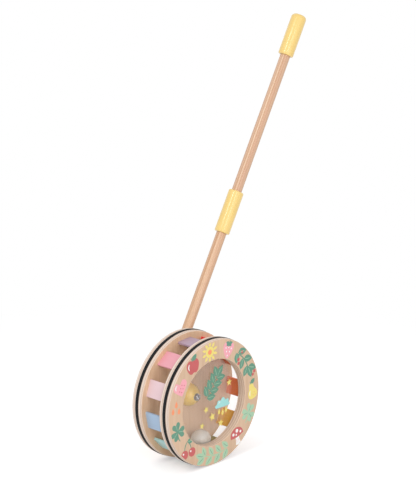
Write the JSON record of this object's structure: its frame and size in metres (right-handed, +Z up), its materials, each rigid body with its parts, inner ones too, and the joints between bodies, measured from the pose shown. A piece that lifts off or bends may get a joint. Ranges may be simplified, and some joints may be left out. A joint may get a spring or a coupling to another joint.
{
  "type": "toddler push toy",
  "caption": "Wooden push-along toy: a rolling drum of plywood wheels, coloured slats, a clear window and a loose ball, on a long leaning stick with a turned grip.",
  "frame": {"origin": "on the floor, below the middle of the drum's width and under its axle", "axes": "+Z up, the axle along Y with the window facing -Y, and the stick leaning towards +X"},
  "size_m": [0.3085, 0.0974, 0.4856],
  "materials": {
    "plywood": "fine sanded, clear matt varnish, printed face",
    "beech": "sanded dowel, bare or matt varnish",
    "yellow_lacquer": "semi-gloss opaque yellow lacquer on turned wood",
    "rubber_band": "matt black",
    "clear_sheet": "clear acrylic sheet",
    "plated_steel": "bright plated",
    "nylon": "natural",
    "off_white_paint": "satin off-white paint on a wooden ball",
    "paint_purple": "satin paint on a thin wooden slat",
    "paint_pink": "satin paint on a thin wooden slat",
    "paint_pale_pink": "satin paint on a thin wooden slat",
    "paint_blue": "satin paint on a thin wooden slat",
    "paint_mint": "satin paint on a thin wooden slat",
    "paint_green": "satin paint on a thin wooden slat",
    "paint_olive": "satin paint on a thin wooden slat",
    "paint_ochre": "satin paint on a thin wooden slat",
    "paint_orange": "satin paint on a thin wooden slat",
    "paint_deep_orange": "satin paint on a thin wooden slat",
    "paint_red": "satin paint on a thin wooden slat"
  },
  "bodies": {
    "handle": {"grip": "yellow_lacquer", "upper_stick": "beech", "sleeve": "yellow_lacquer", "lower_stick": "beech", "stick_hub": "yellow_lacquer", "axle_bolt": "plated_steel", "hub_washer": "nylon", "nut_washer": "plated_steel", "cap_nut": "plated_steel"},
    "drum": {"rear_disc": "plywood", "rear_tyre": "rubber_band", "front_ring": "plywood", "front_tyre": "rubber_band", "window": "clear_sheet", "hub_dome": "yellow_lacquer", "slat_purple": "paint_purple", "slat_pink": "paint_pink", "slat_pale_pink": "paint_pale_pink", "slat_blue": "paint_blue", "slat_mint": "paint_mint", "slat_green": "paint_green", "slat_olive": "paint_olive", "slat_ochre": "paint_ochre", "slat_orange": "paint_orange", "slat_deep_orange": "paint_deep_orange", "slat_red": "paint_red"},
    "ball": {"rattle_ball": "off_white_paint"}
  },
  "joints": [
    {"name": "drum_spin", "type": "hinge", "parent": "handle", "child": "drum", "pos_m": [0, 0, 0.0754], "axis": [0, 1, 0], "continuous": true},
    {"name": "ball_roll", "type": "hinge", "parent": "handle", "child": "ball", "pos_m": [0, 0, 0.0754], "axis": [0, 1, 0], "continuous": true}
  ]
}
